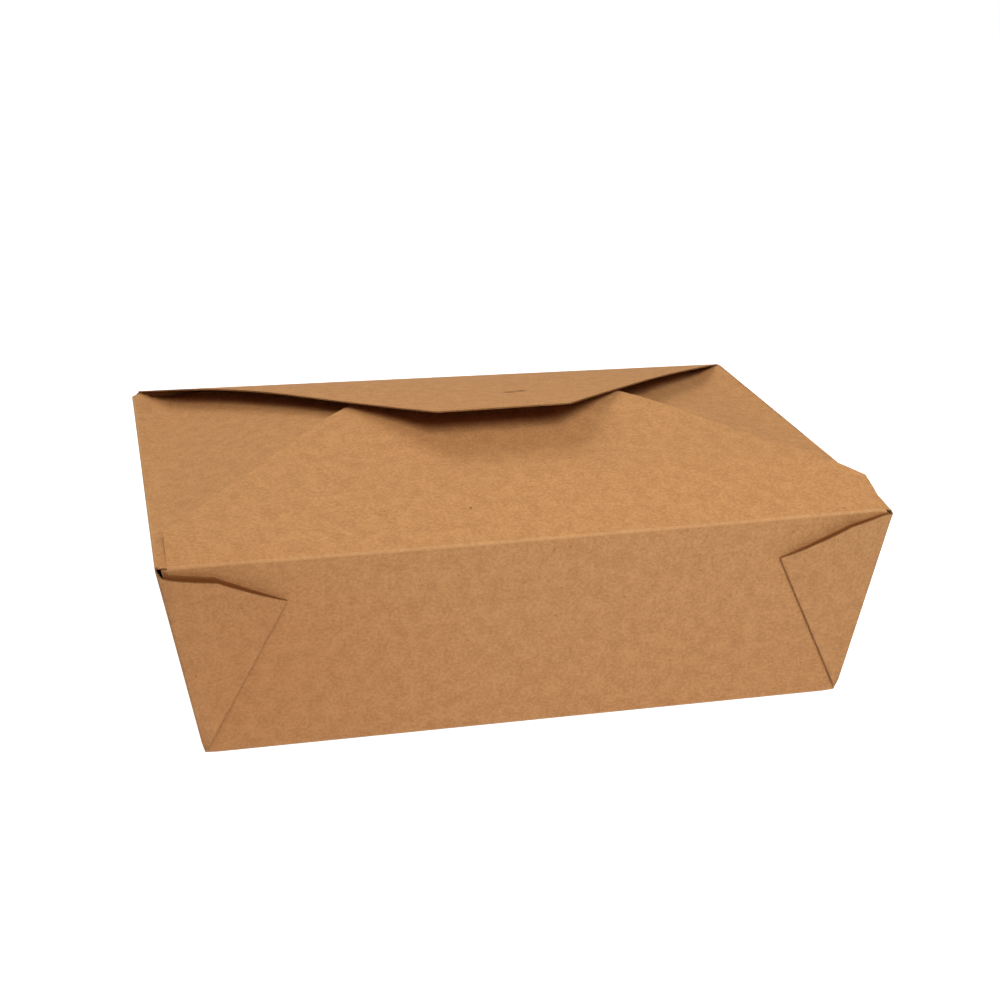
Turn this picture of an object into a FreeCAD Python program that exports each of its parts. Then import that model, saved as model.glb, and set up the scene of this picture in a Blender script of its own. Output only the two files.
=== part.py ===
import FreeCAD, Part

# A folded board lunch box, closed. Millimetres, +Z up, X along the box, front at -Y.
# The origin is the middle of the base, on the surface that the box stands on.
#
# The box is one sheet of board. Its base and four flared walls form a tray. At each corner the web
# between two walls is folded outwards, doubled along a crease and laid on the long wall. Four
# flaps close the top: the two end flaps go in first, the front flap over them, the back flap last.
# The back flap turns on its fold, so it is a solid of its own with running clearance there.

import math
import os

from FreeCAD import Vector

# Board and folds
BOARD = 0.45          # thickness of the board
LAYER_GAP = 0.10      # air between two layers of board laid on each other
FOLD_RADIUS = 0.30    # inside radius of a creased fold

# Tray, measured over the outside of the board
BASE_LENGTH = 197.0
BASE_WIDTH = 140.0
RIM_LENGTH = 219.0
RIM_WIDTH = 158.0
HEIGHT = 63.0         # from the base to the top folds, where the outer faces would meet
RIM_CUT = 0.75        # the walls' own top edge lies this far below the top folds

# Web corners
WEB_START = 5.0       # height at which the doubled web leaves the closed bottom corner
WEB_TURN_RADIUS = 1.6   # inside radius where an end wall turns into its web
WEB_SHOULDER = 22.3   # cut edge of the web that runs square to its crease
WEB_SLOPE = 12.0      # degrees that the web's upper cut edge falls from the rim

# Front and back flaps, seen from above
FLAP_INSET = 2.3      # each fold stops this far from the wall's corners
FLAP_TIP_RADIUS = 3.0
FRONT_SIDE = 17.0     # straight side before the front flap's slanted edge begins
FRONT_SLANT = 47.5    # degrees from the fold to that slanted edge
FRONT_SHORT = 51.0    # the front flap's free edge stops this far from the back fold
BACK_REACH = 107.0    # from the back fold to the back flap's free edge
BACK_SLANT = 51.1     # degrees from the fold to the back flap's slanted edge

# End flaps, seen from above
END_INSET = 3.0        # each end fold stops this far from the rim's corners
END_REACH = 72.0
END_SLANT = 53.0      # degrees from the fold to the slanted edge
END_TIP_RADIUS = 6.0

# How the flaps spring up. Angles are degrees above the rim, lengths follow the board.
BACK_RISE = 21.0      # where the back flap leaves its fold
BACK_CURL = 11.0      # by which it flattens
BACK_CURL_LENGTH = 60.0
FRONT_CURL = 4.5      # by which the front flap flattens next to its fold
FRONT_CURL_LENGTH = 40.0
FRONT_DIP = 15.5      # by which it dips again towards its free edge
FRONT_DIP_LENGTH = 30.0
FRONT_END_LENGTH = 11.0  # straight stretch next to the free edge
FLAP_REST_GAP = 0.35  # the front flap's free edge lies this far under the back flap
END_CURL = 7.5        # by which an end flap flattens over its reach
END_REST_GAP = 0.35   # an end flap's slanted edge lies this far under the front flap

# Allowances of the construction. They leave no mark on the finished shape.
PAST = 10.0           # trimming shapes reach this far past the board
LAP = 2.0             # pieces of the sheet run this far into each other before they are joined
CORNER_DEPTH = 2.0    # the tray's closed corners are taken out this deep to make room for folds
SAME_PLACE = 1e-6

# Values worked out from the dimensions
FOLD_OUTER = FOLD_RADIUS + BOARD
PITCH = BOARD + LAYER_GAP              # from one layer of a doubled web to the next
LOOP_RADIUS = (2 * BOARD + LAYER_GAP) / 2   # outside of a board folded flat on itself
FRONT_REACH = RIM_WIDTH - FRONT_SHORT
RIM_HEIGHT = HEIGHT - RIM_CUT
FLAP_WIDTH = RIM_LENGTH + RIM_WIDTH    # of the strips that the flaps are trimmed from
LONG_LEAN = math.degrees(math.atan((RIM_WIDTH - BASE_WIDTH) / 2 / HEIGHT))
END_LEAN = math.degrees(math.atan((RIM_LENGTH - BASE_LENGTH) / 2 / HEIGHT))


def heading(angle):
    """Unit direction in a section plane, from degrees counter-clockwise."""
    return Vector(math.cos(math.radians(angle)), math.sin(math.radians(angle)), 0)


def path_points(start, angle, runs):
    """Points and headings along a path of straight runs and arcs.

    Each run is (length, turn). A turn in degrees makes the run an arc to the left.
    """
    here, stations = start, [(start, angle)]
    for length, turn in runs:
        half = math.radians(turn) / 2
        chord = length * math.sin(half) / half if turn else length
        here = here + heading(angle + turn / 2) * chord
        angle += turn
        stations.append((here, angle))
    return stations


def ribbon(start, angle, runs, frame):
    """Section of a sheet as a face: the path is its right side, the board lies to the left.

    frame is (origin, first axis, second axis) of the section plane in space.
    """
    origin, first, second = frame

    def place(point):
        return origin + first * point.x + second * point.y

    def side(offset):
        edges = []
        stations = path_points(start, angle, runs)
        for (a, a_angle), (b, b_angle), (length, turn) in zip(stations, stations[1:], runs):
            p = a + heading(a_angle + 90) * offset
            q = b + heading(b_angle + 90) * offset
            if turn:
                radius = length / math.radians(turn)
                centre = a + heading(a_angle + 90) * radius
                mid = centre - heading((a_angle + b_angle) / 2 + 90) * (radius - offset)
                edges.append(Part.Arc(place(p), place(mid), place(q)).toShape())
            else:
                edges.append(Part.LineSegment(place(p), place(q)).toShape())
        return edges

    outer, inner = side(0), side(BOARD)
    first_end = Part.LineSegment(inner[0].valueAt(inner[0].FirstParameter),
                                 outer[0].valueAt(outer[0].FirstParameter)).toShape()
    last_end = Part.LineSegment(outer[-1].valueAt(outer[-1].LastParameter),
                                inner[-1].valueAt(inner[-1].LastParameter)).toShape()
    wire = Part.Wire(Part.__sortEdges__(outer + [last_end] + inner + [first_end]))
    return Part.Face(wire)


def flared_block(low, high, low_size, high_size):
    """Solid between two level rectangles, each given as (half length, half width)."""
    def corners(z, size):
        return [Vector(sx * size[0], sy * size[1], z)
                for sx, sy in ((-1, -1), (1, -1), (1, 1), (-1, 1))]

    a, b = corners(low, low_size), corners(high, high_size)
    rings = [a[::-1], b] + [[a[i], a[(i + 1) % 4], b[(i + 1) % 4], b[i]] for i in range(4)]
    faces = [Part.Face(Part.makePolygon(ring + ring[:1])) for ring in rings]
    return Part.Solid(Part.Shell(faces))


def half_size(z, inset=0.0):
    """Half length and half width of the tray at a height, inset square to the walls."""
    halves = []
    for base, lean in ((BASE_LENGTH, END_LEAN), (BASE_WIDTH, LONG_LEAN)):
        angle = math.radians(lean)
        halves.append(base / 2 + z * math.tan(angle) - inset / math.cos(angle))
    return halves


def round_base(block, z, radius):
    """Rounds the four edges of a flared block that lie at one height."""
    edges = [edge for edge in block.Edges
             if all(abs(v.Z - z) < SAME_PLACE for v in edge.Vertexes)]
    return block.makeFillet(radius, edges)


def tray():
    """Base and four walls, with rounded folds around the base."""
    above = RIM_HEIGHT + PAST
    outside = flared_block(0, RIM_HEIGHT, half_size(0), half_size(RIM_HEIGHT))
    inside = flared_block(BOARD, above, half_size(BOARD, BOARD), half_size(above, BOARD))
    return round_base(outside, 0, FOLD_OUTER).cut(round_base(inside, BOARD, FOLD_RADIUS))


class WebCorner:
    """The doubled web at the front right corner, in the front wall's own directions."""

    def __init__(self):
        foot = Vector(BASE_LENGTH / 2, -BASE_WIDTH / 2, 0)
        top = Vector(RIM_LENGTH / 2, -RIM_WIDTH / 2, HEIGHT)
        self.foot = foot
        self.along = (top - foot).normalize()        # up the corner edge
        self.inward = Vector(-1, 0, 0)               # along the base of the front wall
        self.up = Vector(0, -(RIM_WIDTH - BASE_WIDTH) / 2, HEIGHT).normalize()
        self.out = self.up.cross(self.inward)        # square out of the front wall
        self.across = self.out.cross(self.along)     # in the wall, square to the corner edge
        if self.across.dot(self.inward) < 0:
            self.across = self.across * -1
        end_out = Vector(HEIGHT, 0, -(RIM_LENGTH - BASE_LENGTH) / 2).normalize()
        self.back = end_out.cross(self.along)        # in the end wall, square to the corner edge
        if self.back.y < 0:
            self.back = self.back * -1
        # The flat blank closes at the corner: base, two walls and the two halves of the web
        # make a full turn. That gives half the web's angle, and so the crease's direction.
        long_skew = math.atan2(-top.x + foot.x, (top - foot).dot(self.up))
        end_skew = math.atan((RIM_WIDTH - BASE_WIDTH) / 2 / (HEIGHT / math.cos(math.radians(END_LEAN))))
        half_web = (math.pi / 2 + long_skew - end_skew) / 2
        crease_angle = half_web + long_skew
        self.crease = self.up * math.cos(crease_angle) + self.inward * math.sin(crease_angle)
        self.square = self.inward * math.cos(crease_angle) - self.up * math.sin(crease_angle)
        # Cut edges: down from the rim at a slope, then square to the crease.
        self.rim_point = foot + self.along * (RIM_HEIGHT / self.along.z)
        self.slope = (self.inward * math.cos(math.radians(WEB_SLOPE))
                      - self.up * math.sin(math.radians(WEB_SLOPE)))
        short = -(self.rim_point - foot).dot(self.square) - WEB_SHOULDER
        self.kink = self.rim_point + self.slope * (short / self.slope.dot(self.square))
        self.crease_end = self.kink + self.square * WEB_SHOULDER
        self.turn_centre = WEB_TURN_RADIUS + BOARD   # along self.across, from the corner edge
        self.layer_length = HEIGHT                   # longer than the web is wide

    def section_frame(self):
        return (self.foot - self.along * PAST, self.out, self.across)

    def full_length(self):
        return self.along * (HEIGHT / self.along.z + 2 * PAST)

    def turned_layer(self):
        """The end wall's edge, its turn round the corner and the web's outer layer."""
        wall_heading = math.degrees(math.atan2(-self.back.dot(self.across), -self.back.dot(self.out)))
        turn = 90 - wall_heading
        tangent = self.turn_centre * math.tan(math.radians(turn / 2))
        reach = 2 * PITCH / math.cos(math.radians(wall_heading))   # past the corner edge
        overlap = CORNER_DEPTH + LAP
        start = heading(wall_heading) * -overlap
        runs = [(overlap + reach - tangent, 0),
                (self.turn_centre * math.radians(turn), turn),
                (self.layer_length, 0)]
        return ribbon(start, wall_heading, runs, self.section_frame()).extrude(self.full_length())

    def looped_layer(self):
        """The front wall's edge folded flat on itself and the web's inner layer."""
        start = Vector(-BOARD, self.turn_centre + LAP, 0)
        runs = [(LAP, 0), (math.pi * LOOP_RADIUS, 180), (self.layer_length, 0)]
        return ribbon(start, -90, runs, self.section_frame()).extrude(self.full_length())

    def crease_loop(self):
        """The fold along the crease, where the two layers of the web meet."""
        overlap = LOOP_RADIUS
        frame = (self.foot, self.square, self.out)
        start = Vector(-LOOP_RADIUS - overlap, LAYER_GAP, 0)
        runs = [(overlap, 0), (math.pi * LOOP_RADIUS, 180), (overlap, 0)]
        return ribbon(start, 0, runs, frame).extrude(self.crease_end - self.foot)

    def outline(self):
        """Prism that cuts both layers to the web's outline, short of the crease's loop."""
        back_off = self.square * -LOOP_RADIUS
        points = [self.foot + back_off - self.crease * PAST,
                  self.crease_end + back_off,
                  self.kink,
                  self.rim_point - self.slope * PAST,
                  self.foot - self.inward * PAST - self.up * PAST]
        face = Part.Face(Part.makePolygon([p - self.out * PAST for p in points + points[:1]]))
        return face.extrude(self.out * 2 * PAST)

    def level_band(self):
        """Everything between the height where the web starts and the rim."""
        reach = RIM_LENGTH + RIM_WIDTH
        return Part.makeBox(2 * reach, 2 * reach, RIM_HEIGHT - WEB_START,
                            Vector(-reach, -reach, WEB_START))

    def opening(self):
        """What is taken out of the tray's closed corner to make room for the folds."""
        origin, out, across = self.section_frame()
        clear = BOARD    # past the tray's outer faces
        section = ((-CORNER_DEPTH, -clear), (clear, -clear),
                   (clear, self.turn_centre), (-CORNER_DEPTH, self.turn_centre))
        points = [origin + out * x + across * y for x, y in section]
        face = Part.Face(Part.makePolygon(points + points[:1]))
        return face.extrude(self.full_length()).common(self.level_band())

    def layers(self):
        outline = self.outline()
        band = self.level_band()
        return [self.turned_layer().common(outline).common(band),
                self.looped_layer().common(outline).common(band),
                self.crease_loop().common(band)]


def flap_outline(half_fold, side, slant, reach, tip_radius):
    """Prism with a flap's outline seen from above: fold at Y = 0, free edge at Y = reach.

    The straight sides run up to Y = side, and the slanted edges from there to the free edge.
    """
    spread = 1 / math.tan(math.radians(slant))
    tip = half_fold - (reach - side) * spread
    right = [(half_fold, -PAST), (half_fold, side), (tip, reach)]
    if side == 0:
        right = [(half_fold + PAST * spread, -PAST), (tip, reach)]
    outline = right + [(-x, y) for x, y in reversed(right)]
    points = [Vector(x, y, 0) for x, y in outline + outline[:1]]
    prism = Part.Face(Part.makePolygon(points)).extrude(Vector(0, 0, 3 * HEIGHT))
    tips = [edge for edge in prism.Edges
            if edge.BoundBox.ZLength > HEIGHT and abs(edge.BoundBox.Center.y - reach) < SAME_PLACE]
    return prism.makeFillet(tip_radius, tips)


def turned(shape, degrees):
    """The shape turned about the vertical through the origin."""
    copy = shape.copy()
    copy.rotate(Vector(0, 0, 0), Vector(0, 0, 1), degrees)
    return copy


def fold_tangent(turn):
    """Distance from where two outer faces would meet to where their rounded fold begins."""
    return FOLD_OUTER * math.tan(math.radians(turn / 2))


def fixed_flap(edge_distance, lean, rise, runs, outline):
    """A flap and its fold, continuous with the top of its wall, for a wall on the -Y side."""
    turn = 90 + lean - rise
    corner = Vector(edge_distance, HEIGHT, 0)
    start = corner - heading(90 - lean) * (fold_tangent(turn) + LAP)
    section = [(LAP, 0), (FOLD_OUTER * math.radians(turn), turn)] + runs
    frame = (Vector(-FLAP_WIDTH / 2, 0, 0), Vector(0, -1, 0), Vector(0, 0, 1))
    sheet = ribbon(start, 90 - lean, section, frame).extrude(Vector(FLAP_WIDTH, 0, 0))
    outline.translate(Vector(0, -edge_distance, 0))
    return sheet.common(outline)


def back_section():
    """Start and first heading of the back flap's outer face, and its fold's axis, in (Y, Z)."""
    wall = heading(90 - LONG_LEAN)
    turn = math.radians(90 + LONG_LEAN - BACK_RISE)
    corner = Vector(RIM_WIDTH / 2, HEIGHT, 0)
    axis = corner - wall * (BOARD / 2 * math.tan(turn / 2)) - heading(-LONG_LEAN) * (BOARD / 2)
    start = axis + heading(90 - BACK_RISE) * (BOARD / 2)
    return axis, start


def back_runs():
    return [(BACK_CURL_LENGTH, BACK_CURL), (2 * BACK_REACH, 0)]


def front_runs():
    curled = FRONT_CURL_LENGTH + FRONT_DIP_LENGTH + FRONT_END_LENGTH
    straight = max(FRONT_REACH - curled, LAP)
    return [(FRONT_CURL_LENGTH, FRONT_CURL), (straight, 0),
            (FRONT_DIP_LENGTH, FRONT_DIP), (2 * FRONT_END_LENGTH, 0)]


def end_runs():
    return [(END_REACH, END_CURL), (END_REACH, 0)]


def height_at(stations, y):
    """Height of a path's outer face at a place, from the stations of its runs in fine steps."""
    for (a, _), (b, _) in zip(stations, stations[1:]):
        if min(a.x, b.x) <= y <= max(a.x, b.x):
            return a.y + (b.y - a.y) * (y - a.x) / (b.x - a.x)
    raise ValueError("the flap does not reach that far")


def fine(runs, step=1.0):
    """The same runs cut into short ones, so that their stations trace the curve."""
    short = []
    for length, turn in runs:
        count = max(1, math.ceil(length / step))
        short += [(length / count, turn / count)] * count
    return short


def outer_path(edge_distance, lean, rise, runs):
    """Stations along the outer face of a flap that rises from the wall on the -Y side."""
    corner = Vector(-edge_distance, HEIGHT, 0)
    start = corner + heading(rise) * fold_tangent(90 + lean - rise)
    return path_points(start, rise, [(length, -turn) for length, turn in fine(runs)])


def steepest(fits):
    """Largest angle in degrees at which a flap can leave its fold, by halving the range."""
    low, high = 0.0, 45.0
    halvings = 40
    for _ in range(halvings):
        rise = (low + high) / 2
        if fits(rise):
            low = rise
        else:
            high = rise
    return low


def front_rise():
    """Angle at which the front flap leaves its fold, so that its free edge meets the back flap."""
    edge_y = RIM_WIDTH / 2 - FRONT_SHORT
    back = path_points(back_section()[1], 180 - BACK_RISE, fine(back_runs()))
    under_back = height_at(back, edge_y) - BOARD / math.cos(math.radians(BACK_RISE - BACK_CURL))

    def fits(rise):
        front = outer_path(RIM_WIDTH / 2, LONG_LEAN, rise, front_runs())
        return height_at(front, edge_y) < under_back - FLAP_REST_GAP

    return steepest(fits)


def end_rise(front_angle):
    """Angle at which an end flap leaves its fold, so that its slanted edge clears the front flap."""
    front = outer_path(RIM_WIDTH / 2, LONG_LEAN, front_angle, front_runs())
    board_height = BOARD / math.cos(math.radians(front_angle))

    stops = 20    # places along the slanted edge where the room is measured

    def fits(rise):
        end = outer_path(RIM_LENGTH / 2, END_LEAN, rise, end_runs())
        for stop in range(1, stops):
            reach = END_REACH * stop / stops
            y = END_INSET + reach / math.tan(math.radians(END_SLANT)) - RIM_WIDTH / 2
            room = height_at(front, y) - board_height - height_at(end, reach - RIM_LENGTH / 2)
            if room < END_REST_GAP:
                return False
        return True

    return steepest(fits)


def back_flap(outline):
    """The back flap as its own solid, with a rounded edge that turns in its fold."""
    axis, start = back_section()
    along = Vector(FLAP_WIDTH, 0, 0)
    frame = (along * -0.5, Vector(0, 1, 0), Vector(0, 0, 1))
    sheet = ribbon(start, 180 - BACK_RISE, back_runs(), frame).extrude(along)
    bead = Part.makeCylinder(BOARD / 2, FLAP_WIDTH, Vector(-FLAP_WIDTH / 2, axis.x, axis.y), along)
    outline = turned(outline, 180)
    outline.translate(Vector(0, RIM_WIDTH / 2, 0))
    return sheet.fuse(bead).common(outline).removeSplitter(), axis


def box_sheet(outline):
    """Base, walls, web corners, end flaps and front flap: one folded sheet."""
    corner = WebCorner()
    body = tray()
    pieces = []
    mirrors = ((1, 1), (-1, 1), (1, -1), (-1, -1))
    for sx, sy in mirrors:
        flip = FreeCAD.Matrix()
        flip.A11, flip.A22 = sx, sy
        body = body.cut(corner.opening().transformGeometry(flip))
        pieces += [layer.transformGeometry(flip) for layer in corner.layers()]

    rise = front_rise()
    pieces.append(fixed_flap(RIM_WIDTH / 2, LONG_LEAN, rise, front_runs(), outline))
    end = fixed_flap(RIM_LENGTH / 2, END_LEAN, end_rise(rise), end_runs(),
                     flap_outline(RIM_WIDTH / 2 - END_INSET, 0, END_SLANT, END_REACH, END_TIP_RADIUS))
    pieces += [turned(end, 90), turned(end, -90)]
    return body.fuse(pieces).removeSplitter()


def long_outline(side, slant, reach):
    """Outline of the front or the back flap."""
    return flap_outline(RIM_LENGTH / 2 - FLAP_INSET, side, slant, reach, FLAP_TIP_RADIUS)


def export(shape, name):
    if len(shape.Solids) != 1 or not shape.isValid():
        raise ValueError(f"{name}: {len(shape.Solids)} solids, valid {shape.isValid()}")
    shape.Solids[0].exportStep(os.path.join("parts", name + ".step"))
    box = shape.BoundBox
    print(f"{name}: volume {shape.Volume:.1f} mm3, box "
          f"{box.XMin:.2f} {box.YMin:.2f} {box.ZMin:.2f} to {box.XMax:.2f} {box.YMax:.2f} {box.ZMax:.2f}")


os.makedirs("parts", exist_ok=True)
flap, fold = back_flap(long_outline(0, BACK_SLANT, BACK_REACH))
export(box_sheet(long_outline(FRONT_SIDE, FRONT_SLANT, FRONT_REACH)), "box_sheet")
export(flap, "back_flap")
front = front_rise()
print(f"back fold axis: y {fold.x:.3f}, z {fold.y:.3f}")
print(f"front flap leaves its fold at {front:.2f} degrees, end flaps at {end_rise(front):.2f}")
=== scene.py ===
# %% [markdown]
# # A folded board lunch box
#
# The box is one die-cut sheet of brown kraft board, 0.45 mm thick, folded up into a tray with four
# closing flaps. At each corner the web between two walls is doubled, laid flat on the long wall and
# glued there. What makes such a thing look real is its thin edge, its springy flaps that don't lie
# quite flat, and its fibrous surface, so those three get most of the work here.
#
# The imported model gives the size to keep to.

import bpy
import numpy as np
from mathutils import Matrix, Vector


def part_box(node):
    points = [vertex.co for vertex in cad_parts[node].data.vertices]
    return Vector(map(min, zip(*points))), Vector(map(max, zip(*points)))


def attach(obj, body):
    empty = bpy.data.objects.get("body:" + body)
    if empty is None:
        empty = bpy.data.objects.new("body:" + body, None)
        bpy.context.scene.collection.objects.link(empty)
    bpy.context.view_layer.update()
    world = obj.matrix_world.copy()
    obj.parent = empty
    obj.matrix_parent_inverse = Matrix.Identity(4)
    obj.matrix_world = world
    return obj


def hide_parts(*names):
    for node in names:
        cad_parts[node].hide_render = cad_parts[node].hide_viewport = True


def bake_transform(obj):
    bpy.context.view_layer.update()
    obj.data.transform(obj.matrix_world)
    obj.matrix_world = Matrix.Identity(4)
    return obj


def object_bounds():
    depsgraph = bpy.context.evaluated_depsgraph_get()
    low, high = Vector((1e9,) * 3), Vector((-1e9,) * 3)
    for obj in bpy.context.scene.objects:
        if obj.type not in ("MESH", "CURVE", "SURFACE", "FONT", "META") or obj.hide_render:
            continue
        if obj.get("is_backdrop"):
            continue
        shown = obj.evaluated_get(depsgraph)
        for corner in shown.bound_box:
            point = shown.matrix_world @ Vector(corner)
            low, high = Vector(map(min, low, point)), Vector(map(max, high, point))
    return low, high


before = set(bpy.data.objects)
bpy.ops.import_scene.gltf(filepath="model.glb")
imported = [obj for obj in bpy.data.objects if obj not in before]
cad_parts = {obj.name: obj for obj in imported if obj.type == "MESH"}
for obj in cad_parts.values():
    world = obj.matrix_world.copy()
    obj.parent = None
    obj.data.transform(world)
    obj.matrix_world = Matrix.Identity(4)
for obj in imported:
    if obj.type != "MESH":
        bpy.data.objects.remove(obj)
cad_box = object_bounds()

MM = 0.001                       # the lesson works in millimetres, Blender in metres
sheet_low, sheet_high = (np.array(corner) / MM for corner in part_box("box_sheet"))
print("sheet from", sheet_low.round(2), "to", sheet_high.round(2))

# %% [markdown]
# ## Driving sizes
#
# A folded box is drawn from its board, its folds and the outside sizes of its tray. All surfaces
# below are the middle of the board; the thickness comes at the very end, half to each side.

# %% Sizes of board, tray and folds
BOARD = 0.45
PITCH = BOARD + 0.10                     # from one layer of a doubled web to the next
FOLD = 0.30 + BOARD / 2                  # radius of a fold, to the middle of the board
BASE = np.array([197.0, 140.0])
RIM = np.array([219.0, 158.0])
HEIGHT = 63.0                            # of the rim, where the outer faces would meet
WALL_TOP = HEIGHT - 0.75                 # where the top folds begin
LEAN = np.arctan((RIM - BASE) / 2 / HEIGHT)   # of the end walls and of the long walls
print("walls lean", np.degrees(LEAN).round(2), "degrees")


def half_size(z):
    """Half length and half width of the tray at height z, to the middle of the board.

    Above the base fold it is a straight sloping line. Below, it is the fold's arc: its end is
    tangent to the wall and its start to the base, and each height has one place on it.
    """
    z = np.asarray(z, float)[..., None]
    line = BASE / 2 + z * np.tan(LEAN) - BOARD / 2 / np.cos(LEAN)
    tangent = FOLD * np.tan((np.pi / 2 - LEAN) / 2)
    start = BASE / 2 + BOARD / 2 * np.tan(LEAN) - BOARD / 2 / np.cos(LEAN) - tangent
    turned = np.arccos(np.clip(1 - (z - BOARD / 2) / FOLD, 0, 1))
    return np.where(z < BOARD / 2 + tangent * np.cos(LEAN), start + FOLD * np.sin(turned), line)


def smooth(t):
    """Goes from 0 to 1 as t does, level at both ends."""
    t = np.clip(t, 0, 1)
    return t * t * (3 - 2 * t)


# %% [markdown]
# ## A patch and a pile of patches
#
# Every panel is a grid of points: rows run up the board, columns along the fold. A patch keeps its
# points, where each lies in the flat blank (for the pattern), and two masks: how much a point
# belongs to a fold, and whether it lies inside a web. The fold mask makes folds paler, partly as a
# painted highlight, and the web mask gives the inside painted shade between a web's layers. One
# object for each panel would be simpler, but would show a gap at every fold. The patches meet
# exactly, so that they can be welded into one sheet afterwards.

# %% Patches
class Patch:
    """A grid of points with their places in the flat blank, and masks of the folds and webs.

    The fold mask makes folds paler, partly as a painted highlight; the web mask paints shade
    between a web's layers.
    """

    def __init__(self, points, blank, fold=0.0, turned_over=False, web=0.0):
        self.points = points
        self.blank = np.broadcast_to(blank, points.shape[:2] + (2,))
        self.fold = np.broadcast_to(fold, points.shape[:2])
        self.web = np.broadcast_to(web, points.shape[:2])
        self.turned_over = turned_over

    def quads(self):
        """Indices of each cell's corners, in the order that makes it face out of the box.

        That side is row direction times column direction, unless the patch is turned over.
        """
        rows, columns = self.points.shape[:2]
        index = np.arange(rows * columns).reshape(rows, columns)
        cells = np.stack([index[:-1, :-1], index[1:, :-1], index[1:, 1:], index[:-1, 1:]], -1)
        cells = cells.reshape(-1, 4)
        return cells[:, ::-1] if self.turned_over else cells


print("a patch of 3 by 4 points has", len(Patch(np.zeros((3, 4, 3)), np.zeros(2)).quads()), "faces")

# %% [markdown]
# ## The four quarters of the tray
#
# One quarter reaches from the middle of a long wall round the corner to the middle of an end wall.
# Its rows start at one point, the foot of the corner, and widen towards the rim. The board's path
# along a row is: long wall, folded nose, inner layer of the web, crease, outer layer, and the turn
# into the end wall. A place there has three numbers: the level distance from the corner edge, the
# distance in front of the long wall's middle, and the height.

# %% Rows of a quarter
tangent_long = FOLD * np.tan((np.pi / 2 - LEAN[1]) / 2)
FOOT_Z = BOARD / 2 + tangent_long * np.cos(LEAN[1])
FOOT = half_size(FOOT_Z)
CLOSED = 4.0                             # the corner is pressed together below this height
NOSE_LOW, TURN_LOW = 0.8, 1.0            # nose and turn just above the pressed part

ROW_COUNT, ROW_CROWDING = 27, 1.7        # the rows crowd towards the foot by this power
RIM_ROWS = (0.985, 0.993)                # two more just below the rim, as shares of the height
ROWS = np.sort(np.append(np.linspace(0, 1, ROW_COUNT) ** ROW_CROWDING, RIM_ROWS))[:, None]
LEVEL = FOOT_Z + ROWS * (WALL_TOP - FOOT_Z)
PRESSED = smooth((LEVEL - FOOT_Z) / CLOSED)
GAP = PITCH * PRESSED
HALF_X, HALF_Y = np.moveaxis(half_size(LEVEL), -1, 0)
print(len(ROWS), "rows from", LEVEL.min().round(2), "to", LEVEL.max().round(2), "mm")


def at_corner(q, ahead, z):
    """Point at level distance q from the corner edge, that far ahead of the long wall's middle."""
    half = half_size(z)
    q, ahead = np.broadcast_to(q, z.shape), np.broadcast_to(ahead, z.shape)
    return np.stack([half[..., 0] - q, half[..., 1] + ahead, z], -1)


# %% [markdown]
# The crease of a web follows from the flat blank: base, two walls and the two halves of the web
# make one full turn about the foot, and that fixes the crease's slope on the wall. It could be
# measured on a real box, but worked out in this way it still fits when a size changes.

# %% The crease and the two layers
edge_skew = np.arctan(np.tan(LEAN[0]) * np.cos(LEAN[1]))      # the corner edge leans out this much
end_skew = np.arctan(np.tan(LEAN[1]) * np.cos(LEAN[0]))
crease_angle = (np.pi / 2 - edge_skew - end_skew) / 2 - edge_skew
CREASE_RUN = np.tan(crease_angle) / np.cos(LEAN[1]) + np.tan(LEAN[0])   # level distance per height
SQUARE = np.array([np.cos(crease_angle) - np.tan(LEAN[0]) * np.sin(crease_angle) * np.cos(LEAN[1]),
                   -np.sin(crease_angle) * np.cos(LEAN[1])])  # square to the crease, per millimetre
print("crease leans", np.degrees(crease_angle).round(2), "degrees")


def polyline(nodes, counts):
    """Points spread evenly along each stretch between nodes, given as (distance, height)."""
    nodes = np.array(nodes, float)
    parts = [a + (b - a) * np.linspace(0, 1, n, endpoint=False)[:, None]
             for a, b, n in zip(nodes, nodes[1:], counts)]
    return np.concatenate(parts + [nodes[-1:]])


def layer(edge, start_now, start_top, inset):
    """One layer of a web: its cut edge scaled down towards the foot.

    The scaled edge would begin too near the corner low down, so its start is moved out to where
    the nose or turn is in that row, and the move fades out towards the crease.
    """
    q, z = edge[:, 0], edge[:, 1]
    along = (q - q[0]) / (q[-1] - q[0])
    moved = (start_now - ROWS * start_top) * (1 - along)
    return (ROWS * q + moved - inset * along * SQUARE[0],
            FOOT_Z + ROWS * (z - FOOT_Z) - inset * along * SQUARE[1], along)


# %% [markdown]
# Mirror images in the blank: a layer folded back on the wall lies, in the flat sheet, on the other
# side of the line that it was folded over. Unwrapping the finished mesh can stretch the pattern a
# little, while the mirror images give the true layout of the sheet.

# %% Places in the flat blank
def in_wall(q, z):
    """Places in the long wall's own plane, from the foot: inwards and up the wall."""
    return np.stack([q - np.tan(LEAN[0]) * (z - FOOT_Z), (z - FOOT_Z) / np.cos(LEAN[1])], -1)


def folded_over(places, angle):
    """Mirror image over the line through the foot at this angle from straight up the wall."""
    line = np.array([np.sin(angle), np.cos(angle)])
    return 2 * (places @ line)[..., None] * line - places


def long_blank(places):
    """Places in the blank: the long wall is laid down flat, next to the base."""
    return np.stack([FOOT[0] - places[..., 0], FOOT[1] + places[..., 1]], -1)


def inner_blank(q, z):
    """Places in the blank of the web's inner layer, folded over the corner edge."""
    return long_blank(folded_over(in_wall(q, z), -edge_skew))


print("in the blank, a corner of the rim lies at", long_blank(in_wall(0.0, WALL_TOP)).round(1))

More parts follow.
